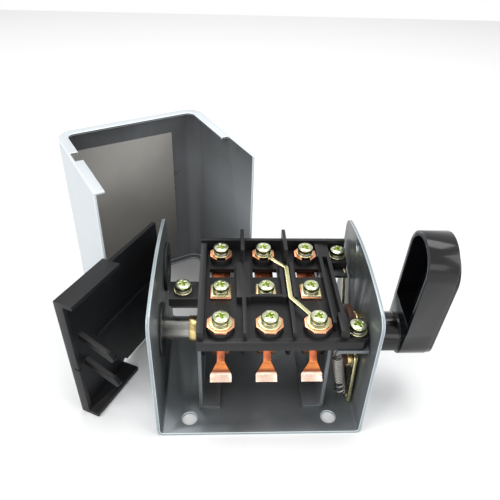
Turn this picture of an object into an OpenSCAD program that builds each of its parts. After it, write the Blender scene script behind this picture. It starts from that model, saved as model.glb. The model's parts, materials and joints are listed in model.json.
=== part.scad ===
// Reversing drum switch: three poles, nine screw terminals and a side lever.
// X runs along the shaft, Y to the back and Z up. The origin is the centre of
// the four base holes, on the underside of the base.
// The cover and the end cap stand beside the frame, as they do when it is wired.

/* [Frame] */
// Width over the two side walls
frame_w = 95; // [94:0.5:104]
// Depth from front to back
frame_d = 78.6; // [78:0.2:90]
// Thickness of the folded sheet
sheet_t = 1.5; // [1.2:0.1:1.8]
// Height of a side wall at its front and back
wall_h = 70; // [68:1:84]
// Extra height of a side wall at its crowned middle
crown_h = 5; // [3:0.5:8]
// Radius of a side wall's top corners
wall_corner_r = 7; // [4:0.5:10]
// Outer radius of the fold between base and wall
fold_r = 3; // [2.4:0.2:4]
// Base hole spacing along the shaft
hole_space_x = 66; // [60:0.5:72]
// Base hole spacing across the shaft
hole_space_y = 62; // [56:0.5:66]
// Radius of a base hole
hole_r = 3.5; // [2.2:0.1:4]
// Radius of the cover screw's hole in the right wall
cover_hole_r = 2.4; // [1.6:0.1:3]

/* [Shaft] */
// Height of the shaft above the underside of the base
shaft_z = 37.5; // [36.5:0.1:37.6]
// Place of the shaft in front of the middle of the base
shaft_y = -7.5; // [-8:0.1:-7]
// Radius of the shaft
shaft_r = 5; // [4:0.1:5.4]
// Angle from off to either working position
throw_angle = 45; // [40:1:50]

/* [Contact block] */
// Distance between two poles
pole_pitch = 21; // [20.6:0.1:22]
// Place of the middle pole along the shaft
pole_x = 2.7; // [2:0.1:3.2]
// Place of the back row of terminals
back_row_y = 25.8; // [25:0.1:27]
// Place of the middle row of terminals
middle_row_y = 0.3; // [0:0.1:1]
// Place of the front row of terminals
front_row_y = -23.6; // [-24.4:0.1:-23]
// Height of the deck's top face
deck_z = 52.6; // [52.5:0.1:54]
// Thickness of the deck
deck_t = 2.3; // [2:0.1:2.4]
// Depth of the skirt below the deck's underside
skirt_h = 2; // [1.6:0.1:2.6]
// Thickness of the block's thin walls
rib_t = 1.7; // [1.4:0.1:2]
// Height of the barrier ribs above the deck
rib_h = 4; // [3.2:0.1:4]
// Height of the two tall fins between the back terminals
fin_h = 11.4; // [7:0.2:14]
// Height of a terminal pad above the deck
pad_h = 2.9; // [2.4:0.1:3.2]

/* [Terminals] */
// Radius of a terminal screw's thread
screw_r = 2; // [1.5:0.1:2.1]
// Radius of a terminal screw's head
head_r = 3.8; // [3.2:0.1:4]
// Height of a terminal screw's head
head_h = 2.8; // [2.2:0.1:3.2]
// Thickness of a spring washer
lock_t = 1; // [0.8:0.1:1.2]
// Thickness of a flat washer
washer_t = 0.8; // [0.6:0.1:1]
// Radius of a flat washer
washer_r = 5.1; // [4.6:0.1:5.3]
// Thickness of a copper terminal plate
plate_t = 1.2; // [1:0.1:1.5]
// Width of a copper terminal plate
plate_w = 11.8; // [11.2:0.1:12.4]
// Thickness of a copper contact finger
finger_t = 0.8; // [0.6:0.1:1]
// Width of a contact finger at its tip
finger_w = 9.8; // [8:0.1:10.4]
// Width of a contact finger at its neck
neck_w = 3.4; // [2.6:0.1:5]

/* [Drum] */
// Radius of the moulded drum body
drum_r = 9; // [8:0.1:9.6]
// Outer radius of the copper segments
segment_r = 12; // [11:0.1:12.2]
// Outer radius of the barrier discs
barrier_r = 12.4; // [12.2:0.1:12.6]
// Thickness of a barrier disc
barrier_t = 1.4; // [1.2:0.1:1.5]
// Width of a copper segment
segment_w = 8; // [6:0.1:8.2]

/* [Handle] */
// Radius of the handle's neck, next to the frame
neck_r = 9.4; // [8.6:0.1:9.8]
// How far the neck's centre lies below the shaft
neck_drop = 2.4; // [0:0.2:2.6]
// Radius of the grip's foot, round the shaft
foot_r = 12.4; // [11:0.2:13]
// Radius of the grip's round top
grip_r = 13.2; // [12.8:0.2:15]
// Length from the shaft to the centre of the grip's round top
grip_reach = 44.2; // [40:0.2:48]
// Width of the grip along the shaft
grip_w = 12.6; // [10:0.2:14]
// Thickness of the handle's backing plate
back_plate_t = 2.2; // [1.6:0.2:3]
// Thickness of the grip's walls
grip_wall = 2.2; // [1.6:0.1:2.8]
// Length of the neck between the frame and the grip
neck_len = 15; // [14:0.5:20]
// How far the grip leans to the front when the drum is off
grip_lean = 6.5; // [0:0.5:8]

/* [Detent] */
// Radius of the detent cam's lobes
cam_r = 11.5; // [11:0.1:11.8]
// Thickness of the cam and its roller
cam_t = 2.6; // [2:0.1:2.8]
// Radius of the roller
roller_r = 2.6; // [2.4:0.1:2.8]
// Distance between the lever's pivot and its roller
lever_len = 12.6; // [11.6:0.2:13.4]
// Radius of the spring's coils at the middle of the wire
coil_r = 2.2; // [2:0.1:2.3]
// Radius of the spring's wire
wire_r = 0.4; // [0.3:0.02:0.42]
// Number of turns in the spring
coil_turns = 14; // [10:1:15]

/* [Cover] */
// Width of the cover across its middle panel
cover_w = 78.6; // [76:0.2:84]
// Depth of the cover's side panels
cover_d = 67; // [62:1:70]
// Length of the cover, which stands upright
cover_len = 101.4; // [96:0.2:110]
// Thickness of the cover's sheet
cover_t = 1.2; // [1:0.1:1.6]
// Outer radius of the cover's corners
cover_r = 9; // [6:0.5:12]
// Width of the lips at both ends of the cover
lip_w = 5; // [3:0.5:7]

/* [End cap] */
// Length of the end cap's panel
cap_len = 72; // [66:1:73]
// Length of the boxed part of the end cap
cap_box_len = 32.6; // [28:0.2:34]
// Height of the boxed part
cap_h = 68.8; // [62:0.2:72]
// Depth of the end cap
cap_d = 9.5; // [8:0.5:9.6]
// Thickness of the end cap's walls
cap_t = 2; // [1.6:0.1:2.4]

/* [Hidden] */
$fn = 48;

// Colours, as the photograph shows them
zinc_paint = "#8f9aa0";
black_plastic = "#2b2b2d";
gloss_black = "#161618";
copper = "#c46a35";
brass = "#c9b45f";
bright_zinc = "#d5dcc0";
steel = "#9a9c94";
cover_white = "#dfe6ea";
fibre_brown = "#5b3326";

// Clearances and small sizes that several pieces share
cut = 1;
thread_gap = 0.15;
running_gap = 0.05;
contact_gap = 0.3;
eps_gap = 0.1;
tuck = 0.02;

// Frame
half_w = frame_w / 2;
half_d = frame_d / 2;
wall_in = half_w - sheet_t;
crown_r = (half_d * half_d + crown_h * crown_h) / (2 * crown_h);
crown_z = wall_h + crown_h - crown_r;
corner_z = crown_z + sqrt(pow(crown_r - wall_corner_r, 2) - pow(half_d - wall_corner_r, 2));
corner_tilt = atan2(corner_z - crown_z, half_d - wall_corner_r);
cover_hole_y = 13.5;
cover_hole_drop = 5;

// Contact block
deck_low = deck_z - deck_t;
seat_z = deck_low - skirt_h;
poles = [pole_x - pole_pitch, pole_x, pole_x + pole_pitch];
gaps = [pole_x - pole_pitch / 2, pole_x + pole_pitch / 2];
left_margin = 10.2;
right_margin = 12.4;
wall_gap = 0.7;
block_x0 = poles[0] - left_margin;
block_x1 = poles[2] + right_margin;
bay_x1 = wall_in - wall_gap;
front_edge = 8.4;
back_edge = 10.7;
block_y0 = front_row_y - front_edge;
block_y1 = back_row_y + back_edge;
rail_t = 3;
rail_h = 4.4;
back_wall_h = 5.9;
back_wall_t = 2;
lip_h = 0.4;
lip_slant = 2.8;
pad_r = 6.2;
wide_rib_w = 6.5;
twin_gap = 3.4;
slot_y0 = 12;
slot_y1 = 18.5;
fin_y0 = 19;
divider_y1 = -7;
square_w = 9.6;
cross_rib_y = middle_row_y - square_w / 2 - contact_gap;
block_ledge_h = 5.2;
ledge_y1 = -18.5;
front_rib_y0 = -29.6;
under_rib_h = 3.6;
under_rib_y1 = -22.5;
ear_w = 12.6;
left_ear_out = 7.5;
left_ear_x = block_x0 - left_ear_out;
left_ear_y = 2.5;
right_ear_in = 4.3;
right_ear_x = bay_x1 - right_ear_in;
front_ear_y = -24.6;
back_ear_y = 29.8;
hole_clear_r = screw_r + thread_gap;
pad_z = deck_z + pad_h;

// Fixing points of the block, as x and y
fixings = [[left_ear_x, left_ear_y], [right_ear_x, front_ear_y], [right_ear_x, back_ear_y]];

// Brackets under the block
bracket_t = 1.5;
bracket_bend = 1.4;
left_leg_x = block_x0 + bracket_t / 2;
right_leg_out = 6.6;
right_leg_x = poles[2] + right_leg_out;
foot_len = 9;
bracket_y0 = -25.6;
bracket_y1 = 34;
shaft_hole_room = 2;
shaft_hole_r = shaft_r + shaft_hole_room;
tab_out = 0.6;
tab_in = 0.4;
flange_in = 1;
front_tab_y0 = block_y0 - tab_out;
front_tab_y1 = -16.6;
back_tab_y0 = 18.6;

// Lug under the front tab, which the spring hooks
lug_out = 2.1;
lug_x = right_leg_x + lug_out;
lug_y = -29.4;
lug_w = 3.6;
lug_t = 1.2;
lug_hole_r = 0.8;
lug_hole_drop = 1.1;
lug_wall = 0.7;
lug_hole_z = seat_z - bracket_t - lug_hole_drop;
lug_low = lug_hole_z - lug_hole_r - lug_wall;

// Terminals
fork_w = 10.7;
small_washer_r = 4.3;
lock_r = 3.7;
lock_split = 0.9;
thread_len = 6.1;
cross_w = 1;
cross_len = 4.4;
cross_deep = 1.3;
finger_z = deck_low - finger_t / 2 - eps_gap;
contact_r = segment_r + contact_gap + finger_t / 2;
touch_front = shaft_y - contact_r;
touch_back = shaft_y + contact_r;
lip_out = 6.9;
knee_out = 3.9;
knee_drop = 5;
tip_drop = 12.6;
lip_drop = 15;
bend_r = 1.4;
foot_w = 9;
bend_in = 1.7;
rivet_r = 1.5;
rivet_t = 0.6;

// Jumper
jumper_w = 2;
jumper_bend = 1.5;

// Drum
drum_end_gap = 0.3;
drum_x0 = left_leg_x + bracket_t / 2 + drum_end_gap;
drum_x1 = right_leg_x - bracket_t / 2 - drum_end_gap;
front_span = [98, 232];
back_span = [-52, 22];
collar_r = 6.2;
collar_t = 4;
collar_gap = 0.5;
collar_x = left_leg_x - bracket_t / 2 - collar_gap;
shaft_x0 = -48;
flat_len = 12;
flat_deep = shaft_r / 4;
tap_len = 13;

// Handle
handle_gap = 2.6;
neck_x0 = half_w + handle_gap;
grip_x0 = neck_x0 + neck_len;
grip_x1 = grip_x0 + grip_w;
handle_x1 = grip_x1 + back_plate_t;
plate_reach_share = 0.9;
plate_in = 0.2;
plate_r = grip_r - plate_in;
recess_low = 13.5;
recess_floor_t = 1.8;
step_in = 0.4;
step_low = 9.5;
handle_screw_r = 2;
handle_head_r = 4;
handle_head_h = 2.4;
handle_seat = 6;
shaft_end_gap = 0.6;
shaft_x1 = handle_x1 - handle_seat - shaft_end_gap;

// Detent
cam_x0 = 40.4;
roller_angle = 214;
ride_r = cam_r + roller_r + contact_gap;
seat_depth = 1.15;
roller_y = shaft_y + ride_r * cos(roller_angle);
roller_z = shaft_z + ride_r * sin(roller_angle);
pivot_y = roller_y - lever_len * sin(roller_angle);
pivot_z = roller_z + lever_len * cos(roller_angle);
seat_angle = asin(seat_depth / lever_len);
lever_gap = 0.2;
lever_x0 = cam_x0 + cam_t + lever_gap;
lever_t = 1.5;
cheek_t = 1.5;
cheek_gap = 0.4;
cheek_x0 = cam_x0 - cheek_gap - cheek_t;
boss_r = 3;
pivot_boss_r = 3.5;
tail_y = -21.6;
tail_z = 4.6;
tail_r = 2.5;
hook_hole_r = 1.5;
pivot_r = 2;
pivot_head_r = 3;
pivot_head_t = 0.9;
pin_r = 1.2;
pin_head_r = 2;
pin_head_t = 0.6;
cam_hub_r = 7.2;
cam_hub_len = 2.6;

// Stop strap, hung through the back tab of the right bracket
strap_x = 44;
strap_t = 1.2;
strap_w = 2.4;
strap_head_w = 3.6;
strap_in = 1.5;
strap_head_h = 1.6;
strap_top_y = back_tab_y0 + strap_w / 2 + strap_in;
strap_low_y = 13;
strap_low_z = 31;

// Bushes and grommet
bush_r = 12.5;
bush_flange_t = 1.2;
bush_out_t = 3;
bush_neck_r = shaft_r + shaft_hole_room;
right_flange_r = 8;
right_flange_t = 1.2;
grommet_y = 25;
grommet_z = 49;
grommet_r = 12.3;
grommet_neck_r = 9.5;
grommet_flange_t = 1.3;
membrane_r = 6.5;

// Cover, standing behind the frame and turned by cover_turn. Its left free edge
// keeps its place beside the end cap.
cover_turn = 27.5;
cover_edge_x = -71.85;
cover_edge_y = 7.85;
cover_pos_x = cover_edge_x + cover_w / 2 * cos(cover_turn) - cover_d * sin(cover_turn);
cover_pos_y = cover_edge_y + cover_w / 2 * sin(cover_turn) + cover_d * cos(cover_turn);
notch_from = 26;
notch_len = 9;
right_lip_share = 0.62;
lining_t = 0.5;
lining_low = 6;
lining_up_share = 0.83;
lining_side_share = 0.8;
lining_edge = 7;

// End cap, leaning on the cover's free edge. The end of its panel keeps its
// place behind the left wall.
cap_turn = 62.6;
cap_lean = 2;
cap_end_x = -43.07;
cap_end_y = 35.32;
cap_pos_x = cap_end_x - cap_len * cos(cap_turn);
cap_pos_y = cap_end_y - cap_len * sin(cap_turn);
cap_pos_z = 0.4;
cap_panel_drop = 3.3;
cap_panel_h = cap_h - cap_panel_drop;
cap_side_d = 4.4;
cap_slot_z = 29;
cap_slot_w = 0.8;
cap_arm_w = 2.6;
cap_arm_r = 1.5;
cap_arm_u = 8;
cap_arm_reach = 8.5;
cap_arm_zs = [28, 44];
cap_arm_fall = 8;
cap_barb = 2.6;
cap_rib_t = 1;
cap_rib_h = 1.2;
cap_rib_z = 35;
cap_rib_from = 17;
cap_notch_r = 3.2;

// Points on an arc that rounds the corner b between a and c
function unit(v) = v / norm(v);
function corner(a, b, c, r, n = 5) =
    let (p = unit(a - b), q = unit(c - b), half = acos(min(1, max(-1, p * q))) / 2,
         reach = r / tan(half), mid = b + unit(p + q) * r / sin(half),
         from = b + p * reach, to = b + q * reach,
         a0 = atan2(from[1] - mid[1], from[0] - mid[0]),
         a1 = atan2(to[1] - mid[1], to[0] - mid[0]),
         turn = a1 - a0 > 180 ? a1 - a0 - 360 : a1 - a0 < -180 ? a1 - a0 + 360 : a1 - a0)
    [for (i = [0:n]) mid + r * [cos(a0 + turn * i / n), sin(a0 + turn * i / n)]];
function rounded(path, r) =
    let (last = len(path) - 1)
    concat([path[0]],
        [for (i = [1:last - 1]) each corner(path[i - 1], path[i], path[i + 1], r)],
        [path[last]]);
function side(path, i, w) =
    let (last = len(path) - 1,
         before = unit(path[max(i, 1)] - path[max(i, 1) - 1]),
         after = unit(path[min(i, last - 1) + 1] - path[min(i, last - 1)]),
         mid = unit(before + after))
    path[i] + [-mid[1], mid[0]] * w / 2 / (mid * before);
// Outline of a strip of width w that follows a path
function strip(path, w) =
    let (last = len(path) - 1)
    concat([for (i = [0:last]) side(path, i, w)],
        [for (i = [last:-1:0]) side(path, i, -w)]);

// Turns a flat shape with x as Y and y as Z into a plate from x0 over a thickness
module yz_plate(x0, thick) {
    translate([x0, 0, 0]) rotate([90, 0, 90]) linear_extrude(thick) children();
}
// Turns a flat shape with x as X and y as Z into a plate from y0 towards the back
module xz_plate(y0, thick) {
    translate([0, y0 + thick, 0]) rotate([90, 0, 0]) linear_extrude(thick) children();
}
module box(low, high) {
    translate(low) cube(high - low);
}
module x_rod(x0, x1, y, z, r) {
    translate([x0, y, z]) rotate([0, 90, 0]) cylinder(h = x1 - x0, r = r);
}
module z_rod(x, y, z0, z1, r) {
    translate([x, y, z0]) cylinder(h = z1 - z0, r = r);
}
// Flat link between two round ends, in the plane of the sketch. Its straight
// sides lie a tuck inside the tangents.
module link(a, ra, b, rb) {
    run = norm(b - a);
    lean = asin((ra - rb) / run);
    translate(a) rotate(atan2(b[1] - a[1], b[0] - a[0]) - 90) {
        circle(r = ra);
        translate([0, run]) circle(r = rb);
        wa = (ra - tuck) * cos(lean);
        wb = (rb - tuck) * cos(lean);
        polygon([[-wa, ra * sin(lean)], [wa, ra * sin(lean)],
            [wb, run + rb * sin(lean)], [-wb, run + rb * sin(lean)]]);
    }
}
module sector(r, from, to) {
    step = (to - from) / 4;
    reach = r / cos(step / 2) + cut;
    polygon(concat([[0, 0]], [for (i = [0:4]) reach * [cos(from + step * i), sin(from + step * i)]]));
}

// Side wall with a crowned top and two round corners
module wall_outline() {
    difference() {
        intersection() {
            translate([-half_d, 0]) square([frame_d, wall_h + crown_h]);
            translate([0, crown_z]) circle(r = crown_r, $fn = 128);
        }
        for (s = [-1, 1]) polygon([[s * (half_d - wall_corner_r), corner_z],
            [s * (half_d + cut), corner_z], [s * (half_d + cut), wall_h + crown_h],
            [s * (crown_r + cut) * cos(corner_tilt), crown_z + (crown_r + cut) * sin(corner_tilt)]]);
    }
    for (s = [-1, 1]) translate([s * (half_d - wall_corner_r), corner_z]) circle(r = wall_corner_r);
}
module round_foot(w, h, r) {
    translate([-w / 2, r]) square([w, h - r]);
    translate([-w / 2 + r, 0]) square([w - 2 * r, r]);
    for (s = [-1, 1]) translate([s * (w / 2 - r), r]) circle(r = r);
}
module base_frame() {
    color(zinc_paint) difference() {
        intersection() {
            xz_plate(-half_d, frame_d) difference() {
                round_foot(frame_w, wall_h + crown_h, fold_r);
                translate([0, sheet_t])
                    round_foot(frame_w - 2 * sheet_t, wall_h + crown_h, fold_r - sheet_t);
            }
            yz_plate(-half_w, frame_w) wall_outline();
        }
        for (x = [-1, 1], y = [-1, 1])
            z_rod(x * hole_space_x / 2, y * hole_space_y / 2, -cut, sheet_t + cut, hole_r);
        x_rod(-half_w - cut, -wall_in + cut, shaft_y, shaft_z, bush_neck_r);
        x_rod(-half_w - cut, -wall_in + cut, grommet_y, grommet_z, grommet_neck_r);
        x_rod(wall_in - cut, half_w + cut, shaft_y, shaft_z, bush_neck_r);
        x_rod(wall_in - cut, half_w + cut, pivot_y, pivot_z, pivot_r);
        x_rod(wall_in - cut, half_w + cut, cover_hole_y, wall_h + crown_h - cover_hole_drop, cover_hole_r);
    }
}

// A bracket stands on the base with a foot, a leg and a top flange
module bracket(leg_x, foot_x, flange_x) {
    low = sheet_t + bracket_t / 2;
    top = seat_z - bracket_t / 2;
    xz_plate(front_tab_y0, block_y1 - front_tab_y0) polygon(strip(
        rounded([[foot_x, low], [leg_x, low], [leg_x, top], [flange_x, top]], bracket_bend), bracket_t));
}
module left_bracket() {
    flange_x = left_ear_x - ear_w / 2 + flange_in;
    color(zinc_paint) difference() {
        bracket(left_leg_x, left_leg_x + foot_len, flange_x);
        box([flange_x - cut, front_tab_y0 - cut, seat_z - bracket_t - bracket_bend],
            [left_leg_x - bracket_t / 2, left_ear_y - ear_w / 2 + tab_in, seat_z + cut]);
        box([flange_x - cut, left_ear_y + ear_w / 2 - tab_in, seat_z - bracket_t - bracket_bend],
            [left_leg_x - bracket_t / 2, block_y1 + cut, seat_z + cut]);
        box([flange_x - cut, front_tab_y0 - cut, 0], [left_leg_x + foot_len + cut, bracket_y0, seat_z + cut]);
        box([flange_x - cut, bracket_y1, 0], [left_leg_x + foot_len + cut, block_y1 + cut, seat_z + cut]);
        x_rod(left_leg_x - bracket_t, left_leg_x + bracket_t, shaft_y, shaft_z, shaft_hole_r);
        z_rod(left_ear_x, left_ear_y, seat_z - 2 * bracket_t, seat_z + cut, hole_clear_r);
    }
}
module right_bracket() {
    flange_x = bay_x1;
    bend_z = seat_z - bracket_t - bracket_bend;
    color(zinc_paint) difference() {
        union() {
            difference() {
                bracket(right_leg_x, right_leg_x - foot_len, flange_x);
                box([right_leg_x - foot_len - cut, front_tab_y0 - cut, 0],
                    [right_leg_x + bracket_bend, bracket_y0, seat_z + cut]);
            }
            box([lug_x - lug_t / 2, lug_y - lug_w / 2, lug_low],
                [lug_x + lug_t / 2, lug_y + lug_w / 2, seat_z]);
        }
        box([right_leg_x + bracket_t / 2, front_tab_y1, bend_z], [flange_x + cut, back_tab_y0, seat_z + cut]);
        box([right_leg_x - foot_len - cut, bracket_y1, 0], [flange_x + cut, block_y1 + cut, seat_z + cut]);
        x_rod(right_leg_x - bracket_t, right_leg_x + bracket_t, shaft_y, shaft_z, shaft_hole_r);
        for (i = [1, 2])
            z_rod(fixings[i][0], fixings[i][1], seat_z - 2 * bracket_t, seat_z + cut, hole_clear_r);
        x_rod(lug_x - lug_t, lug_x + lug_t, lug_y, lug_hole_z, lug_hole_r);
        strap_strip(strap_t + 2 * eps_gap, strap_w + 2 * eps_gap);
    }
}
// Upright brass strap behind the cam, with a head that rests on the tab
module strap_strip(thick, w) {
    yz_plate(strap_x - thick / 2, thick)
        polygon(strip([[strap_low_y, strap_low_z], [strap_top_y, seat_z - bracket_t],
            [strap_top_y, seat_z]], w));
}
module stop_strap() {
    color(brass) {
        strap_strip(strap_t, strap_w);
        box([strap_x - strap_t / 2, strap_top_y - strap_head_w / 2, seat_z],
            [strap_x + strap_t / 2, strap_top_y + strap_head_w / 2, seat_z + strap_head_h]);
    }
}

// Insulating block that carries the nine terminals
module contact_block() {
    rib_z = deck_z + rib_h;
    color(black_plastic) difference() {
        union() {
            box([block_x0, block_y0, deck_low], [block_x1, block_y1, deck_z]);
            translate([0, 0, seat_z]) linear_extrude(deck_z + lip_h - seat_z)
                polygon([[block_x0, block_y0], [bay_x1 - lip_slant, block_y0],
                    [bay_x1, block_y0 + lip_slant], [block_x0, block_y0 + lip_slant]]);
            box([block_x0, block_y1 - back_wall_t, seat_z], [bay_x1, block_y1, deck_z + back_wall_h]);
            box([block_x0, block_y0, seat_z], [block_x0 + rib_t, block_y1, deck_z]);
            box([right_leg_x - bracket_t / 2, block_y0, seat_z], [block_x1, block_y1, deck_z]);
            box([block_x0, block_y0 + back_wall_t, deck_low], [block_x0 + rail_t, block_y1, deck_z + rail_h]);
            box([block_x1 - rib_t, block_y0 + back_wall_t, deck_low], [block_x1, block_y1, rib_z]);
            box([right_leg_x, block_y0 + 5 * rib_t, deck_low], [right_leg_x + rib_t, block_y1, rib_z]);
            box([right_leg_x - bracket_t / 2, back_ear_y - ear_w / 2, deck_low], [block_x1, block_y1, rib_z]);
            ears();
            barrier_ribs(rib_z);
            for (x = poles) {
                z_rod(x, front_row_y, deck_low, pad_z, pad_r);
                z_rod(x, back_row_y, deck_low, pad_z, pad_r - rib_t / 2);
            }
        }
        for (x = poles) {
            for (y = [front_row_y, middle_row_y, back_row_y]) z_rod(x, y, seat_z, pad_z + cut, hole_clear_r);
            box([x - pole_pitch / 2 + wide_rib_w / 2 + rib_t, slot_y0, seat_z],
                [x + pole_pitch / 2 - wide_rib_w / 2 - rib_t / 2, slot_y1, rib_z + cut]);
        }
        for (f = fixings) z_rod(f[0], f[1], seat_z - cut, deck_z + cut, hole_clear_r);
    }
}
module ears() {
    box([left_ear_x - ear_w / 2, left_ear_y - ear_w / 2, seat_z],
        [block_x0 + rib_t, left_ear_y + ear_w / 2, deck_z]);
    box([block_x1 - rib_t, block_y0 + lip_slant, seat_z], [bay_x1, front_ear_y + ear_w / 2 + rib_t, deck_z]);
    box([block_x1 - rib_t, back_ear_y - ear_w / 2, seat_z], [bay_x1, block_y1, deck_z]);
    box([block_x1 - 2 * rib_t, block_y0 + back_wall_t, deck_low],
        [right_ear_x - small_washer_r - contact_gap, ledge_y1, deck_z + block_ledge_h]);
}
// Ribs that keep the poles apart, above and below the deck
module barrier_ribs(rib_z) {
    for (i = [0, 1]) {
        x = gaps[i];
        box([x - rib_t / 2, front_rib_y0, deck_low], [x + rib_t / 2, divider_y1, rib_z]);
        box([x - rib_t / 2, fin_y0, deck_low], [x + rib_t / 2, block_y1, deck_z + fin_h]);
        box([x - rib_t / 2, front_rib_y0, deck_low - under_rib_h], [x + rib_t / 2, under_rib_y1, deck_low]);
    }
    box([gaps[0] - wide_rib_w / 2, divider_y1, deck_low], [gaps[0] + wide_rib_w / 2, fin_y0, rib_z]);
    for (s = [-1, 1]) translate([s * (twin_gap + rib_t) / 2, 0, 0])
        box([gaps[1] - rib_t / 2, divider_y1, deck_low], [gaps[1] + rib_t / 2, fin_y0, rib_z]);
    box([gaps[0], cross_rib_y - rib_t, deck_low], [gaps[1], cross_rib_y, rib_z]);
}

// Terminal plates
module octagon(w) {
    intersection() {
        square(w, center = true);
        rotate(45) square(w, center = true);
    }
}
module front_terminal_plates() {
    color(copper) for (x = poles) translate([x, front_row_y, pad_z]) linear_extrude(plate_t) difference() {
        octagon(plate_w);
        circle(r = hole_clear_r);
    }
}
module middle_terminal_plates() {
    color(copper) for (x = poles) translate([x, middle_row_y, deck_z]) linear_extrude(plate_t) difference() {
        square(square_w, center = true);
        circle(r = hole_clear_r);
    }
}
module back_terminal_plates() {
    color(copper) for (x = poles) translate([x, back_row_y, pad_z]) linear_extrude(plate_t) difference() {
        octagon(fork_w);
        circle(r = hole_clear_r);
        translate([-hole_clear_r, -fork_w]) square([2 * hole_clear_r, fork_w]);
    }
}

// Contact fingers: a side view is swept along X and trimmed to a front view
module finger(path, x, row_y) {
    difference() {
        intersection() {
            yz_plate(x - finger_w / 2, finger_w) polygon(strip(rounded(path, bend_r), finger_t));
            children();
        }
        z_rod(x, row_y, finger_z - finger_t, finger_z + finger_t, hole_clear_r);
    }
}
module front_view(x) {
    wide = finger_z - finger_t;
    pinch = shaft_z - knee_drop;
    rotate([90, 0, 0]) translate([0, 0, -frame_d]) linear_extrude(2 * frame_d) {
        translate([x - foot_w / 2, wide]) square([foot_w, 3 * finger_t]);
        translate([x - neck_w / 2, pinch]) square([neck_w, wide - pinch]);
        polygon([[x - neck_w / 2, pinch + finger_t], [x + neck_w / 2, pinch + finger_t],
            [x + finger_w / 2, shaft_z - tip_drop], [x + finger_w / 2, shaft_z - 2 * lip_drop],
            [x - finger_w / 2, shaft_z - 2 * lip_drop], [x - finger_w / 2, shaft_z - tip_drop]]);
    }
}
module front_fingers() {
    bend_y = front_row_y - finger_w / 2 + bend_in;
    path = [[front_row_y + foot_w / 2, finger_z], [bend_y, finger_z], [bend_y, finger_z - knee_out],
        [touch_front, shaft_z], [touch_front - knee_out, shaft_z - knee_drop],
        [touch_front - knee_out, shaft_z - tip_drop], [touch_front - lip_out, shaft_z - lip_drop]];
    slope = unit(path[3] - path[2]);
    seat = path[2] + slope * (bend_r + rivet_r);
    color(copper) for (x = poles) {
        finger(path, x, front_row_y) front_view(x);
        translate([x, seat[0], seat[1]]) rotate([atan2(-slope[1], -slope[0]), 0, 0])
            cylinder(h = finger_t / 2 + rivet_t, r = rivet_r);
    }
}
module back_fingers() {
    bend_y = touch_back + knee_out;
    path = [[back_row_y + foot_w / 2, finger_z], [bend_y, finger_z], [bend_y, finger_z - knee_out],
        [touch_back, shaft_z], [touch_back + knee_out, shaft_z - knee_drop],
        [touch_back + knee_out, shaft_z - tip_drop], [touch_back + lip_out, shaft_z - lip_drop]];
    color(copper) for (x = poles) finger(path, x, back_row_y) front_view(x);
}
module middle_fingers() {
    path = [[middle_row_y + foot_w / 2, finger_z], [shaft_y + contact_r / 3, finger_z]];
    color(copper) for (x = poles) difference() {
        yz_plate(x - foot_w / 2, foot_w) polygon(strip(path, finger_t));
        z_rod(x, middle_row_y, finger_z - finger_t, finger_z + finger_t, hole_clear_r);
    }
}

// Washers, each drawn at the origin and set on its terminal
module flat_washer(r) {
    linear_extrude(washer_t) difference() {
        circle(r = r);
        circle(r = hole_clear_r);
    }
}
module lock_washer() {
    linear_extrude(lock_t) difference() {
        circle(r = lock_r);
        circle(r = hole_clear_r);
        rotate(-30) translate([0, -lock_split / 2]) square([2 * lock_r, lock_split]);
    }
}
module screw(len) {
    dome = head_h / 3;
    difference() {
        union() {
            rotate_extrude() polygon([[0, 0], [head_r, 0], [head_r, head_h - dome],
                [head_r - dome / 3, head_h - dome / 3], [head_r - dome, head_h], [0, head_h]]);
            translate([0, 0, -len]) cylinder(h = len, r = screw_r);
        }
        for (turn = [20, 110]) rotate(turn)
            translate([-cross_len / 2, -cross_w / 2, head_h - cross_deep]) cube([cross_len, cross_w, head_h]);
    }
}
module on_row(y, z, skip = -1) {
    for (i = [0:2]) if (i != skip) translate([poles[i], y, z]) children();
}
module on_fixings(z) {
    for (f = fixings) translate([f[0], f[1], z]) children();
}
washer_z = pad_z + plate_t;
square_z = deck_z + plate_t;
module front_flat_washers() { color(brass) on_row(front_row_y, washer_z, 2) flat_washer(washer_r); }
module back_flat_washers() { color(brass) on_row(back_row_y, washer_z, 1) flat_washer(small_washer_r); }
module middle_square_washers() {
    color(brass) on_row(middle_row_y, square_z) linear_extrude(washer_t) difference() {
        square(square_w - washer_t, center = true);
        circle(r = hole_clear_r);
    }
}
module front_lock_washers() { color(steel) on_row(front_row_y, washer_z + washer_t) lock_washer(); }
module middle_lock_washers() { color(steel) on_row(middle_row_y, square_z + washer_t) lock_washer(); }
module back_lock_washers() { color(steel) on_row(back_row_y, washer_z + washer_t) lock_washer(); }
module front_screws() {
    color(bright_zinc) on_row(front_row_y, washer_z + washer_t + lock_t) screw(thread_len + pad_h);
}
module middle_screws() {
    color(bright_zinc) on_row(middle_row_y, square_z + washer_t + lock_t) screw(thread_len);
}
module back_screws() {
    color(bright_zinc) on_row(back_row_y, washer_z + washer_t + lock_t) screw(thread_len + pad_h);
}
module fixing_flat_washers() { color(brass) on_fixings(deck_z) flat_washer(small_washer_r); }
module fixing_lock_washers() { color(steel) on_fixings(deck_z + washer_t) lock_washer(); }
module fixing_screws() {
    stack = washer_t + lock_t;
    color(bright_zinc) on_fixings(deck_z + stack) screw(thread_len + stack);
}

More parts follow.
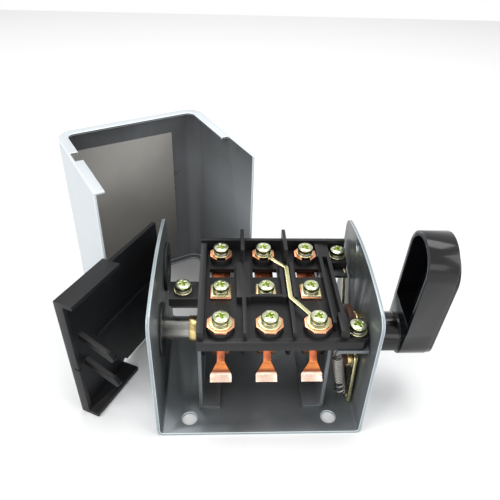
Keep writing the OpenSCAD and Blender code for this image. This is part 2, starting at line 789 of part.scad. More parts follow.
// Flat brass link from the middle back terminal to the right front one
module jumper() {
    channel_x = gaps[1];
    ends = [[poles[1], back_row_y], [poles[2], front_row_y]];
    turns = [[channel_x - 5 * jumper_w / 2, back_row_y - washer_r - jumper_w],
        [channel_x, slot_y0 + jumper_w], [channel_x, cross_rib_y - 3 * jumper_w / 2]];
    ring_mid = (hole_clear_r + small_washer_r) / 2;
    path = concat([ends[0] + ring_mid * unit(turns[0] - ends[0])], turns,
        [ends[1] + ring_mid * unit(turns[2] - ends[1])]);
    color(brass) translate([0, 0, washer_z]) {
        linear_extrude(washer_t) polygon(strip(rounded(path, jumper_bend), jumper_w));
        for (i = [0, 1]) translate(ends[i]) difference() {
            cylinder(h = washer_t, r = [small_washer_r, washer_r][i]);
            translate([0, 0, -cut]) cylinder(h = washer_t + 2 * cut, r = hole_clear_r);
        }
    }
}

// Bushes and grommet in the side walls
module left_shaft_bush() {
    color(black_plastic) difference() {
        union() {
            x_rod(-wall_in, -wall_in + bush_flange_t, shaft_y, shaft_z, bush_r);
            x_rod(-half_w - cut, -wall_in, shaft_y, shaft_z, bush_neck_r);
            x_rod(-half_w - bush_out_t, -half_w, shaft_y, shaft_z, bush_r);
        }
        x_rod(shaft_x0 - contact_gap, -wall_in + bush_flange_t + cut, shaft_y, shaft_z,
            shaft_r + running_gap);
    }
}
module right_shaft_bush() {
    color(brass) difference() {
        union() {
            x_rod(wall_in - right_flange_t, wall_in, shaft_y, shaft_z, right_flange_r);
            x_rod(wall_in, half_w, shaft_y, shaft_z, bush_neck_r);
        }
        x_rod(wall_in - right_flange_t - cut, half_w + cut, shaft_y, shaft_z, shaft_r + running_gap);
    }
}
module cable_grommet() {
    color(gloss_black) difference() {
        union() {
            x_rod(-wall_in, -wall_in + grommet_flange_t, grommet_y, grommet_z, grommet_r);
            x_rod(-half_w, -wall_in, grommet_y, grommet_z, grommet_neck_r);
            x_rod(-half_w - grommet_flange_t, -half_w, grommet_y, grommet_z, grommet_r);
        }
        x_rod(-half_w - grommet_flange_t - cut, -half_w, grommet_y, grommet_z, membrane_r);
        x_rod(-wall_in, -wall_in + grommet_flange_t + cut, grommet_y, grommet_z, membrane_r);
    }
}

// Shaft, drum and what turns with them
module drum_shaft() {
    color(steel) difference() {
        x_rod(shaft_x0, shaft_x1, shaft_y, shaft_z, shaft_r);
        for (turn = [0, 180]) translate([0, shaft_y, shaft_z]) rotate([turn, 0, 0])
            box([shaft_x1 - flat_len, -shaft_r - cut, shaft_r - flat_deep],
                [shaft_x1 + cut, shaft_r + cut, shaft_r + cut]);
        x_rod(shaft_x1 - tap_len, shaft_x1 + cut, shaft_y, shaft_z, handle_screw_r + thread_gap);
    }
}
module drum_body() {
    discs = [drum_x0, gaps[0] - barrier_t / 2, gaps[1] - barrier_t / 2, drum_x1 - barrier_t];
    color(gloss_black) difference() {
        union() {
            x_rod(drum_x0, drum_x1, shaft_y, shaft_z, drum_r);
            for (x = discs) x_rod(x, x + barrier_t, shaft_y, shaft_z, barrier_r);
        }
        x_rod(drum_x0 - cut, drum_x1 + cut, shaft_y, shaft_z, shaft_r + running_gap);
    }
}
module segments(span) {
    color(copper) for (x = poles) translate([0, shaft_y, shaft_z])
        yz_plate(x - segment_w / 2, segment_w) intersection() {
            difference() {
                circle(r = segment_r);
                circle(r = drum_r + running_gap);
            }
            sector(segment_r, span[0], span[1]);
        }
}
module front_segments() { segments(front_span); }
module back_segments() { segments(back_span); }
module shaft_collar() {
    color(brass) difference() {
        x_rod(collar_x - collar_t, collar_x, shaft_y, shaft_z, collar_r);
        x_rod(collar_x - collar_t - cut, collar_x + cut, shaft_y, shaft_z, shaft_r + running_gap);
    }
}
// Roller's place when the lever has dropped by an angle, in the plane of the cam
function swung(angle) = [pivot_y, pivot_z] + lever_len *
    [cos(roller_angle + 270 - angle), sin(roller_angle + 270 - angle)];
module detent_cam() {
    seat = swung(seat_angle) - [shaft_y, shaft_z];
    color(fibre_brown) translate([0, shaft_y, shaft_z]) difference() {
        union() {
            yz_plate(cam_x0, cam_t) circle(r = cam_r);
            yz_plate(cam_x0 - cam_hub_len, cam_hub_len) circle(r = cam_hub_r);
        }
        for (turn = [-throw_angle, 0, throw_angle]) rotate([turn, 0, 0])
            x_rod(cam_x0 - cut / 2, cam_x0 + cam_t + cut, seat[0], seat[1], roller_r + contact_gap);
        x_rod(cam_x0 - cam_hub_len - cut, cam_x0 + cam_t + cut, 0, 0, shaft_r + running_gap);
    }
}

// Moulded lever: a neck, a hollow grip open to the left and a backing plate.
// The grip's band stands proud of the foot and the plate by step_in.
module grip_outline(inset) {
    link([0, 0], foot_r - inset, [0, grip_reach], grip_r - inset);
}
module above(low) {
    translate([-2 * grip_r, low]) square([4 * grip_r, grip_reach + 2 * grip_r]);
}
module handle() {
    color(gloss_black) translate([0, shaft_y, shaft_z]) rotate([grip_lean, 0, 0]) difference() {
        union() {
            x_rod(neck_x0, grip_x0, 0, -neck_drop, neck_r);
            yz_plate(grip_x0, grip_w) grip_outline(step_in);
            yz_plate(grip_x0, grip_w) intersection() {
                grip_outline(0);
                above(step_low);
            }
            yz_plate(grip_x1, back_plate_t)
                link([0, 0], foot_r - 2 * step_in, [0, grip_reach * plate_reach_share], plate_r - 2 * step_in);
        }
        yz_plate(grip_x0 - cut, grip_w - recess_floor_t + cut) intersection() {
            grip_outline(grip_wall);
            above(recess_low);
        }
        x_rod(neck_x0 - cut, handle_x1 - handle_seat, 0, 0, shaft_r + running_gap);
        x_rod(neck_x0, handle_x1 + cut, 0, 0, handle_screw_r + thread_gap);
        x_rod(handle_x1 - handle_seat + back_plate_t, handle_x1 + cut, 0, 0, handle_head_r + thread_gap);
    }
}
module handle_screw() {
    seat_x = handle_x1 - handle_seat + back_plate_t;
    color(bright_zinc) difference() {
        union() {
            x_rod(seat_x - tap_len + back_plate_t, seat_x, shaft_y, shaft_z, handle_screw_r);
            x_rod(seat_x, seat_x + handle_head_h, shaft_y, shaft_z, handle_head_r);
        }
        for (turn = [0, 90]) translate([seat_x + handle_head_h / 2, shaft_y, shaft_z]) rotate([turn, 0, 0])
            box([0, -cross_len / 2, -cross_w / 2], [handle_head_h, cross_len / 2, cross_w / 2]);
    }
}

// Spring-loaded detent lever
module detent_lever() {
    roller = [roller_y, roller_z];
    pivot = [pivot_y, pivot_z];
    tail = [tail_y, tail_z];
    color(brass) difference() {
        union() {
            yz_plate(lever_x0, lever_t) link(roller, boss_r, tail, tail_r);
            yz_plate(lever_x0, lever_t) polygon([roller, pivot, tail]);
            x_rod(lever_x0, lever_x0 + lever_t, pivot_y, pivot_z, pivot_boss_r);
        }
        x_rod(lever_x0 - cut, lever_x0 + lever_t + cut, pivot_y, pivot_z, pivot_r + running_gap);
        x_rod(lever_x0 - cut, lever_x0 + lever_t + cut, roller_y, roller_z, pin_r);
        x_rod(lever_x0 - cut, lever_x0 + lever_t + cut, tail_y, tail_z, hook_hole_r);
    }
}
module lever_cheek() {
    color(fibre_brown) difference() {
        yz_plate(cheek_x0, cheek_t) link([roller_y, roller_z], boss_r, [pivot_y, pivot_z], pivot_boss_r);
        x_rod(cheek_x0 - cut, cheek_x0 + cheek_t + cut, pivot_y, pivot_z, pivot_r + running_gap);
        x_rod(cheek_x0 - cut, cheek_x0 + cheek_t + cut, roller_y, roller_z, pin_r);
    }
}
module roller_pin() {
    color(steel) {
        x_rod(cheek_x0, lever_x0 + lever_t, roller_y, roller_z, pin_r);
        x_rod(cheek_x0 - pin_head_t, cheek_x0, roller_y, roller_z, pin_head_r);
        x_rod(lever_x0 + lever_t, lever_x0 + lever_t + pin_head_t, roller_y, roller_z, pin_head_r);
    }
}
module detent_roller() {
    color(brass) difference() {
        x_rod(cam_x0, cam_x0 + cam_t, roller_y, roller_z, roller_r);
        x_rod(cam_x0 - cut, cam_x0 + cam_t + cut, roller_y, roller_z, pin_r + running_gap);
    }
}
module lever_pivot_pin() {
    head_x = cheek_x0 - running_gap - pivot_head_t;
    color(steel) {
        x_rod(head_x, head_x + pivot_head_t, pivot_y, pivot_z, pivot_head_r);
        x_rod(head_x, half_w, pivot_y, pivot_z, pivot_r);
        x_rod(half_w, half_w + pivot_head_t, pivot_y, pivot_z, pivot_head_r);
    }
}

// Detent spring: one unbroken wire. A small eye hooks the lug, then come the
// close turns, the drawn turns and a large hook through the lever's tail.
spring_top = [lug_x, lug_y, lug_hole_z];
spring_low = [lever_x0 - coil_r - wire_r - contact_gap, tail_y, tail_z];
hook_side = lever_x0 + lever_t / 2 - wire_r - spring_low[0];
spring_run = norm(spring_low - spring_top);
spring_dir = (spring_low - spring_top) / spring_run;
spring_side = unit([1, 0, 0] - spring_dir[0] * spring_dir);
spring_third = cross(spring_dir, spring_side);
turn_gap = 0.7;
coil_pitch = 2 * wire_r + turn_gap;
coil_len = coil_turns * coil_pitch;
drawn_turns = 2.5;
low_ring_r = 2.3;
top_ring_r = 1.5;
curl_steps = 8;
wire_sides = 6;
ring_turn = 36;
coil_from = 2 * top_ring_r + 3.5 * wire_r;
drawn_from = coil_from + coil_len;
hook_drop = -hook_side * spring_side[2] / spring_dir[2];
hook_start = 205;
low_from = spring_run - 2 * low_ring_r;
drawn_len = low_from - drawn_from - 2 * wire_r;
// A place along the spring: distance down its axis, radius and angle around it
function coil_at(s, r, angle) = spring_top + spring_dir * s
    + r * (cos(angle) * spring_side + sin(angle) * spring_third);
// A place on an end ring, which lies in the plane of the axis and spring_side
function ring_at(s, r, angle, aside = 0) =
    spring_top + spring_dir * (s + r * cos(angle)) + spring_side * (aside + r * sin(angle));
spring_points = concat(
    [for (i = [-3:4]) ring_at(top_ring_r, top_ring_r, 180 + i * ring_turn)],
    [for (i = [0:coil_turns * curl_steps])
        coil_at(coil_from + coil_pitch * i / curl_steps, coil_r, 180 + 360 * i / curl_steps)],
    [for (i = [1:drawn_turns * curl_steps]) let (share = i / (drawn_turns * curl_steps))
        coil_at(drawn_from + drawn_len * share, coil_r, 180 + 360 * i / curl_steps)],
    [for (i = [0:7])
        ring_at(low_from + low_ring_r + hook_drop, low_ring_r, hook_start + i * ring_turn, hook_side)]);
// Least gap between two stretches of the wire that don't follow each other
apart_steps = 5;
last_point = len(spring_points) - 1;
least_gap = min([for (i = [0:last_point - apart_steps], j = [i + apart_steps:last_point])
    norm(spring_points[i] - spring_points[j])]) - 2 * wire_r;
// Frame of the wire at a point: two directions square to its run
function run_at(i) =
    unit(spring_points[min(i + 1, last_point)] - spring_points[max(i - 1, 0)]);
function ring_of(i) =
    let (d = run_at(i), m = unit(cross(d, spring_dir + spring_third / 7)), n = cross(d, m))
    [for (k = [0:wire_sides - 1]) let (angle = 360 * k / wire_sides)
        spring_points[i] + wire_r * (cos(angle) * m + sin(angle) * n)];
module detent_spring() {
    echo(least_gap_mm = least_gap);
    count = len(spring_points);
    rings = [for (i = [0:count - 1]) each ring_of(i)];
    color(steel) polyhedron(rings, concat(
        [[for (k = [wire_sides - 1:-1:0]) k]],
        [for (i = [0:count - 2], k = [0:wire_sides - 1])
            let (a = i * wire_sides + k, b = i * wire_sides + (k + 1) % wire_sides)
            each [[a, b, b + wire_sides], [a, b + wire_sides, a + wire_sides]]],
        [[for (k = [0:wire_sides - 1]) (count - 1) * wire_sides + k]]));
}

// Cover: a folded channel with lips at both ends, standing on one end
module cover_profile(inset) {
    half = cover_w / 2 - inset;
    r = cover_r - inset;
    translate([-half, -cover_d]) square([2 * half, cover_d - r - inset]);
    translate([-half + r, -r - inset]) square([2 * half - 2 * r, r]);
    for (s = [-1, 1]) translate([s * (half - r), -r - inset]) circle(r = r);
}
module at_cover() {
    translate([cover_pos_x, cover_pos_y, 0]) rotate(cover_turn) children();
}
module cover_shell() {
    lips = [0, cover_len - cover_t];
    color(cover_white) at_cover() {
        linear_extrude(cover_len) difference() {
            cover_profile(0);
            cover_profile(cover_t);
            translate([-cover_w, -cover_d - cut]) square([2 * cover_w, cut]);
        }
        for (z = lips) translate([0, 0, z]) linear_extrude(cover_t) difference() {
            cover_profile(cover_t / 2);
            cover_profile(lip_w);
            translate([-cover_w, -cover_d - cut]) square([2 * cover_w, cut]);
            translate([-cover_w / 2 + cover_t, -notch_from - notch_len]) square([lip_w, notch_len]);
            translate([cover_w / 2 - lip_w - cover_t, -cover_d - cut])
                square([lip_w, cover_d * (1 - right_lip_share) + cut]);
        }
    }
}
// Insulating sheet along the middle and left panels of the cover
module cover_lining() {
    inset = cover_t;
    side_len = cover_d * lining_side_share;
    lining_h = cover_len * lining_up_share;
    color("#b8b3a6") at_cover() translate([0, 0, lining_low]) linear_extrude(lining_h) difference() {
        cover_profile(inset);
        cover_profile(inset + lining_t);
        translate([cover_w / 2 - cover_r - lining_edge, -cover_d - cut]) square([cover_w, cover_d + 2 * cut]);
        translate([-cover_w, -cover_d - cut]) square([2 * cover_w, cover_d - side_len + cut]);
    }
}

// End cap: a panel whose near half is boxed by walls, with two arms inside.
// Its own u runs along the panel, v from the panel to the open side and z up.
module cap_arm(z) {
    v0 = cap_t / 2;
    v1 = cap_d + cap_arm_reach;
    root = [v0, z];
    tip = [v1, z - cap_arm_fall];
    yz_plate(cap_arm_u - cap_arm_w / 2, cap_arm_w) {
        link(root, cap_arm_r, tip, cap_arm_r);
        link(tip, cap_arm_r, tip + [-cap_barb / 2, cap_barb], cap_arm_r / 2);
    }
}
module end_cap() {
    notch_z = cap_t + cap_notch_r / 2;
    color(black_plastic) translate([cap_pos_x, cap_pos_y, cap_pos_z]) rotate(cap_turn)
        rotate([-cap_lean, 0, 0]) mirror([0, 1, 0]) translate([0, -cap_d, 0]) difference() {
            union() {
                box([0, 0, 0], [cap_box_len, cap_t, cap_h]);
                box([cap_box_len - cut, 0, 0], [cap_len, cap_t, cap_panel_h]);
                box([0, 0, 0], [cap_t, cap_side_d, cap_h]);
                box([0, 0, cap_h - cap_t], [cap_box_len, cap_d, cap_h]);
                box([0, 0, 0], [cap_box_len, cap_d, cap_t]);
                box([cap_rib_from, cap_t - cut / 2, cap_rib_z],
                    [cap_len - cap_t, cap_t + cap_rib_h, cap_rib_z + cap_rib_t]);
                for (z = cap_arm_zs) cap_arm(z);
            }
            box([-cut, cap_t, cap_slot_z], [cap_t + cut, cap_d, cap_slot_z + cap_slot_w]);
            box([cap_box_len, -cut, -cut], [cap_len + cut, cap_t + cut, cap_notch_r]);
            translate([cap_box_len, 0, notch_z]) rotate([-90, 0, 0])
                cylinder(h = 3 * cap_d, r = cap_notch_r / 2, center = true);
        }
}

base_frame();
left_bracket();
right_bracket();
contact_block();
front_terminal_plates();
middle_terminal_plates();
back_terminal_plates();
front_fingers();
middle_fingers();
back_fingers();
front_flat_washers();
middle_square_washers();
back_flat_washers();
front_lock_washers();
middle_lock_washers();
back_lock_washers();
front_screws();
middle_screws();
back_screws();
fixing_flat_washers();
fixing_lock_washers();
fixing_screws();
jumper();
left_shaft_bush();
right_shaft_bush();
cable_grommet();
stop_strap();
drum_shaft();
drum_body();
front_segments();
back_segments();
shaft_collar();
detent_cam();
handle();
handle_screw();
detent_lever();
lever_cheek();
roller_pin();
detent_roller();
lever_pivot_pin();
detent_spring();
cover_shell();
cover_lining();
end_cap();
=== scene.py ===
import json
import math

import bmesh
import bpy
from mathutils import Matrix, Vector

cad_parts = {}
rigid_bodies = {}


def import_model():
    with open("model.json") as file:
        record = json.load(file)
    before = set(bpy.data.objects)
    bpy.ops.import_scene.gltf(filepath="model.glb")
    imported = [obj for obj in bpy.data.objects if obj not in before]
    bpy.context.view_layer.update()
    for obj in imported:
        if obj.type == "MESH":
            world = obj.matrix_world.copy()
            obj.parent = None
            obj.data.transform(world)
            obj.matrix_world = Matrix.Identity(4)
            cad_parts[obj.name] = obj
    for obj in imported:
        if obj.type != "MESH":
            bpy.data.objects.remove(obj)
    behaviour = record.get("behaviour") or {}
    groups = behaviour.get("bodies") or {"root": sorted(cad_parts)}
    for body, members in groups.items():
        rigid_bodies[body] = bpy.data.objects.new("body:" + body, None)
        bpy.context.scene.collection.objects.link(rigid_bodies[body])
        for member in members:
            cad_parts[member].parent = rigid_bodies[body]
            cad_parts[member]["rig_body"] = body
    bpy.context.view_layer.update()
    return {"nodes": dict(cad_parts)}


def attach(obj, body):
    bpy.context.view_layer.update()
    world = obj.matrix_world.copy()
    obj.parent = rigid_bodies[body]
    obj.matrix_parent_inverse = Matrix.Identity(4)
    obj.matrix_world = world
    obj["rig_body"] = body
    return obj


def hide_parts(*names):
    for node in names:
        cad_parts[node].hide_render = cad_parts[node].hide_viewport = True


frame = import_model()
MM = 0.001

# Camera at the photographer's place, a little left of the switch and above it.
# It looks down at the open frame, with the cover and the cap standing beside it.
camera_data = bpy.data.cameras.new("camera")
camera_data.sensor_width = 36
camera_data.lens = 39.24
camera_data.clip_start = 0.01
camera = bpy.data.objects.new("camera", camera_data)
bpy.context.scene.collection.objects.link(camera)
view_ahead = Vector((0.04759, 0.80339, -0.59355))
view_right = Vector((0.99886, -0.03707, 0.02991))
view_up = Vector((-0.00203, 0.59430, 0.80424))
camera.matrix_world = (Matrix.Translation((-0.0169, -0.1923, 0.2200))
                       @ Matrix((view_right, view_up, -view_ahead)).transposed().to_4x4())
bpy.context.scene.camera = camera
bpy.context.scene.view_settings.view_transform = "Standard"


# Studio: large soft lamps above and to both sides, and a pale world. What the
# camera and polished faces see of the world and the floor is near white.
def lamp(name, place, aim, size, watts):
    data = bpy.data.lights.new(name, "AREA")
    data.shape = "RECTANGLE"
    data.size, data.size_y = size
    data.energy = watts
    light = bpy.data.objects.new(name, data)
    bpy.context.scene.collection.objects.link(light)
    light.location = place
    light.rotation_euler = (Vector(aim) - Vector(place)).to_track_quat("-Z", "Y").to_euler()


SWITCH_MIDDLE = (0, 0, 0.05)
lamp("left_softbox", (-0.75, -0.45, 0.85), SWITCH_MIDDLE, (0.7, 0.7), 6.5)
lamp("top_softbox", (0.15, 0.25, 1.1), SWITCH_MIDDLE, (0.9, 0.5), 6)
lamp("right_softbox", (0.8, -0.5, 0.6), SWITCH_MIDDLE, (0.5, 0.8), 3.5)
lamp("front_fill", (0.0, -1.1, 0.35), SWITCH_MIDDLE, (1.2, 0.4), 2.6)


class Amount:
    """A shader socket that takes part in sums."""

    def __init__(self, finish, socket):
        self.finish = finish
        self.socket = socket

    def reckon(self, operation, left, right):
        return self.finish.node("ShaderNodeMath", {"operation": operation}, left, right)

    def __add__(self, other):
        return self.reckon("ADD", self, other)

    def __radd__(self, other):
        return self.reckon("ADD", other, self)

    def __sub__(self, other):
        return self.reckon("SUBTRACT", self, other)

    def __mul__(self, other):
        return self.reckon("MULTIPLY", self, other)

    def __rmul__(self, other):
        return self.reckon("MULTIPLY", other, self)


class Finish:
    """One material: a shader, and the nodes that vary it over a surface."""

    def __init__(self, name):
        self.material = bpy.data.materials.new(name)
        self.material.use_nodes = True
        self.tree = self.material.node_tree
        self.tree.nodes.clear()
        self.shader = self.tree.nodes.new("ShaderNodeBsdfPrincipled")
        end = self.tree.nodes.new("ShaderNodeOutputMaterial")
        self.tree.links.new(self.shader.outputs[0], end.inputs["Surface"])

    def feed(self, socket, value):
        if isinstance(value, Amount):
            self.tree.links.new(value.socket, socket)
        elif socket.type == "RGBA":
            socket.default_value = (*value[:3], 1)
        else:
            socket.default_value = value

    def node(self, kind, settings=None, *values, out=0, **named):
        made = self.tree.nodes.new(kind)
        for key, value in (settings or {}).items():
            setattr(made, key, value)
        for place, value in enumerate(values):
            if value is not None:
                self.feed(made.inputs[place], value)
        for key, value in named.items():
            self.feed(made.inputs[key.replace("_", " ")], value)
        return Amount(self, made.outputs[out])

    def place(self):
        return self.node("ShaderNodeTexCoord", out=3)

    def stretched(self, scale):
        return self.node("ShaderNodeMapping", None, Vector=self.place(), Scale=scale)

    def noise(self, scale, detail, roughness, vector=None):
        return self.node("ShaderNodeTexNoise", None, Vector=vector or self.place(), Scale=scale,
                         Detail=detail, Roughness=roughness)

    def span(self, value, low, high):
        """0 below the low value, 1 above the high one."""
        return self.node("ShaderNodeMapRange", None, value, low, high)

    def axis(self, which):
        """The place along x, y or z, in metres."""
        return self.node("ShaderNodeSeparateXYZ", None, self.place(), out="xyz".index(which))

    def mix(self, share, first, second):
        made = self.tree.nodes.new("ShaderNodeMix")
        made.data_type = "RGBA"
        self.feed(made.inputs[0], share)
        self.feed(made.inputs[6], first)
        self.feed(made.inputs[7], second)
        return Amount(self, made.outputs[2])

    def bump(self, height, depth):
        return self.node("ShaderNodeBump", None, Strength=0.6, Distance=depth, Height=height)

    def set(self, **named):
        for key, value in named.items():
            self.feed(self.shader.inputs[key.replace("_", " ")], value)
        return self.material


def seen_directly(tree):
    """1 where the camera, a polished face or a clear one looks, else 0."""
    path = tree.nodes.new("ShaderNodeLightPath")
    total = path.outputs["Is Camera Ray"]
    for name in ("Is Glossy Ray", "Is Transmission Ray"):
        join = tree.nodes.new("ShaderNodeMath")
        tree.links.new(total, join.inputs[0])
        tree.links.new(path.outputs[name], join.inputs[1])
        total = join.outputs[0]
    return total


FLOOR_HALF = 0.75
paper = Finish("floor_paper")
floor = bpy.data.objects.new("floor", bpy.data.meshes.new("floor"))
bpy.context.scene.collection.objects.link(floor)
bm = bmesh.new()
bmesh.ops.create_grid(bm, x_segments=1, y_segments=1, size=FLOOR_HALF)
bm.to_mesh(floor.data)
bm.free()
floor.data.materials.append(paper.set(
    Base_Color=paper.mix(Amount(paper, seen_directly(paper.tree)), (0.80, 0.80, 0.80), (1, 1, 1)),
    Roughness=0.9))

WORLD_LIGHT, WORLD_SEEN = 0.42, 1.0
world = bpy.data.worlds.new("studio")
world.use_nodes = True
bpy.context.scene.world = world
tree = world.node_tree
background = tree.nodes["Background"]
strength = tree.nodes.new("ShaderNodeMapRange")
tree.links.new(seen_directly(tree), strength.inputs["Value"])
strength.inputs["To Min"].default_value = WORLD_LIGHT
strength.inputs["To Max"].default_value = WORLD_SEEN
tree.links.new(strength.outputs[0], background.inputs["Strength"])
background.inputs["Color"].default_value = (1, 1, 1, 1)


# Open frame: one sheet of steel, folded up at both sides, zinc plated and coated
# grey-blue. The brackets under the block are cut and folded from the same sheet.
def stand_for(piece, node):
    """Gives a piece the body of the CAD node that it replaces, and hides that node."""
    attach(piece, frame["nodes"][node]["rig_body"])
    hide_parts(node)


def link_piece(name, mesh, finishes):
    """A new object in the scene, with its finishes on its mesh."""
    for finish in finishes:
        mesh.materials.append(finish)
    piece = bpy.data.objects.new(name, mesh)
    bpy.context.scene.collection.objects.link(piece)
    return piece


def edge_softened(node, width_mm, segments, finishes):
    """A copy of a CAD node with rounded edges. A second finish, where one is given, goes on the
    edges: the paler edge finishes are painted highlights.
    """
    flat_angle, edge_angle, weld = math.radians(0.6), math.radians(40), 1e-6
    mesh = frame["nodes"][node].data.copy()
    mesh.name = node + "_dressed"
    bm = bmesh.new()
    bm.from_mesh(mesh)
    bmesh.ops.remove_doubles(bm, verts=bm.verts, dist=weld)
    bmesh.ops.dissolve_degenerate(bm, edges=bm.edges, dist=weld)
    bmesh.ops.dissolve_limit(bm, angle_limit=flat_angle, verts=bm.verts, edges=bm.edges)
    for face in bm.faces:
        face.smooth = True
    bm.to_mesh(mesh)
    bm.free()
    mesh.materials.clear()
    piece = link_piece(node + "_dressed", mesh, finishes)
    soften = piece.modifiers.new("edges", "BEVEL")
    soften.width = width_mm * MM
    soften.segments = segments
    soften.limit_method = "ANGLE"
    soften.angle_limit = edge_angle
    soften.use_clamp_overlap = True
    soften.harden_normals = True
    if len(finishes) > 1:
        soften.material = 1
    stand_for(piece, node)
    return piece


def shade_inside_faces(piece, finish, middle):
    """Gives the faces that look towards a middle point a finish of their own, a darker copy:
    painted shade on the inside.
    """
    piece.data.materials.append(finish)
    for face in piece.data.polygons:
        if face.normal.dot(Vector(middle) - face.center) > 0:
            face.material_index = len(piece.data.materials) - 1


def zinc_coat(name, colour, pale, rough, back_shade=0.0):
    coat = Finish(name)
    clouds = coat.span(coat.noise(28, 5, 0.6), 0.35, 0.68)
    streaks = coat.span(coat.noise(1, 5, 0.6, coat.stretched((22, 22, 160))), 0.4, 0.75)
    grain = coat.noise(1400, 3, 0.5)
    tone = coat.mix(clouds * 0.55, colour, pale)
    tone = coat.mix(streaks * 0.30, tone, [0.72 * c for c in colour])
    # Where asked, the coat darkens from the front towards the middle and back: painted shade
    # under the block.
    if back_shade:
        painted_back_shade = coat.span(coat.axis("y"), -0.036, -0.012)
        tone = coat.mix(painted_back_shade * back_shade, tone, [0.35 * c for c in colour])
    return coat.set(Base_Color=tone, Metallic=0.45,
                    Roughness=rough + 0.16 * clouds - 0.05 * streaks,
                    Normal=coat.bump(grain + 2 * clouds, 0.00004))


frame_coat = zinc_coat("zinc_coat", (0.30, 0.36, 0.39), (0.46, 0.52, 0.55), 0.34)
# A paler copy of the coat for the bevelled edges: a painted highlight.
frame_edge_highlight = zinc_coat("zinc_edge_highlight", (0.62, 0.68, 0.70), (0.80, 0.85, 0.86), 0.28)
# A darker copy of the coat for the frame's inside faces and the brackets, darker still towards
# the back: painted shade.
frame_inside_shade = zinc_coat("zinc_inside_shade", (0.17, 0.19, 0.20), (0.29, 0.32, 0.34), 0.32, 0.75)
shade_inside_faces(edge_softened("base_frame", 0.45, 3, (frame_coat, frame_edge_highlight)),
            frame_inside_shade, (0, 0, 0.04))
for bracket in ("left_bracket", "right_bracket"):
    edge_softened(bracket, 0.2, 2, (frame_inside_shade, frame_edge_highlight))


# Contact block: black phenolic moulding with barrier ribs between the poles. Its
# moulded edges get a paler finish, a painted highlight, for the grey lines where they catch the
# light.
def moulding(name, colour, rough, edge=1.0, coat_weight=0.0, cloud=0.5):
    made = Finish(name)
    clouds = made.span(made.noise(45, 4, 0.6), 0.35, 0.7)
    grain = made.noise(2200, 3, 0.6)
    flow = made.noise(260, 4, 0.5)
    # A higher edge value gives a paler copy of the colour, used for the painted edge highlights.
    tone = made.mix(clouds * cloud, [edge * c for c in colour], [1.8 * edge * c for c in colour])
    return made.set(Base_Color=tone, Roughness=rough + 0.14 * clouds + 0.05 * flow,
                    Coat_Weight=coat_weight, Coat_Roughness=0.06, Specular_IOR_Level=0.3,
                    Normal=made.bump(grain * 0.5 + flow, 0.00003))


block_black = moulding("block_black", (0.012, 0.012, 0.013), 0.30)
block_edge_highlight = moulding("block_edge_highlight", (0.030, 0.031, 0.034), 0.24, 1.5)
edge_softened("contact_block", 0.22, 2, (block_black, block_edge_highlight))
edge_softened("left_shaft_bush", 0.25, 2, (block_black, block_edge_highlight))


# Copper terminal plates and contact fingers: stamped from hard copper strip, with
# bright faces. The fingers carry bands of painted light along their height, and all
# edges get a paler finish, a painted highlight.
def metal(name, colour, dark, rough, tint=0.5, size=160, edge=False):
    made = Finish(name)
    clouds = made.span(made.noise(size, 5, 0.6), 0.35, 0.7)
    scratches = made.noise(1, 4, 0.6, made.stretched((2600, 260, 260)))
    fine = made.noise(3000, 2, 0.5)
    tone = made.mix(clouds * tint, colour, dark)
    return made.set(Base_Color=tone, Metallic=1.0,
                    Roughness=rough + 0.15 * clouds + 0.06 * scratches,
                    Normal=made.bump(fine + 1.5 * scratches, 0.000015 if edge else 0.00003))


copper = metal("copper", (0.90, 0.42, 0.22), (0.55, 0.20, 0.10), 0.22)
# A paler copy of the copper for the bevelled edges: a painted highlight.
copper_edge_highlight = metal("copper_edge_highlight", (0.98, 0.62, 0.42), (0.85, 0.42, 0.26), 0.18, edge=True)
for plates in ("front_terminal_plates", "middle_terminal_plates", "back_terminal_plates",
               "middle_fingers", "front_segments", "back_segments"):
    edge_softened(plates, 0.15, 2, (copper, copper_edge_highlight))
finger_copper = Finish("finger_copper")
height = finger_copper.axis("z")
stain = finger_copper.span(finger_copper.noise(300, 5, 0.6), 0.35, 0.7)
# Bands of painted light along the fingers' height: a painted highlight on the lip, painted shade
# on the blade, a painted highlight on the bend and painted shade on the neck above it.
painted_light_bands = finger_copper.mix(finger_copper.span(height, 0.0256, 0.0266),
                         (1.0, 0.76, 0.62), (0.26, 0.08, 0.035))
painted_light_bands = finger_copper.mix(finger_copper.span(height, 0.0275, 0.0292), painted_light_bands, (0.80, 0.27, 0.08))
painted_light_bands = finger_copper.mix(finger_copper.span(height, 0.0312, 0.0345), painted_light_bands, (0.34, 0.09, 0.04))
finger_copper.set(Base_Color=finger_copper.mix(stain * 0.45, painted_light_bands, (0.32, 0.11, 0.05)),
                  Metallic=1.0, Roughness=0.2 + 0.15 * stain,
                  Normal=finger_copper.bump(finger_copper.noise(2600, 3, 0.5) + stain, 0.00003))
for fingers in ("front_fingers", "back_fingers"):
    edge_softened(fingers, 0.12, 2, (finger_copper.material, copper_edge_highlight))


# Washers, jumper, strap and detent lever: brass-yellow passivated steel. The spring
# washers between the washers and the screws' heads are dark spring steel.
yellow = metal("yellow_zinc", (0.80, 0.74, 0.44), (0.48, 0.47, 0.18), 0.18, 0.8, 420)
# A paler copy for the bevelled edges: a painted highlight.
yellow_edge_highlight = metal("yellow_edge_highlight", (0.95, 0.90, 0.66), (0.80, 0.74, 0.40), 0.16, edge=True)
for washers in ("front_flat_washers", "middle_square_washers", "back_flat_washers",
                "fixing_flat_washers", "jumper", "detent_lever", "stop_strap"):
    edge_softened(washers, 0.16, 2, (yellow, yellow_edge_highlight))
dark_steel = metal("dark_steel", (0.34, 0.33, 0.30), (0.16, 0.15, 0.13), 0.28)
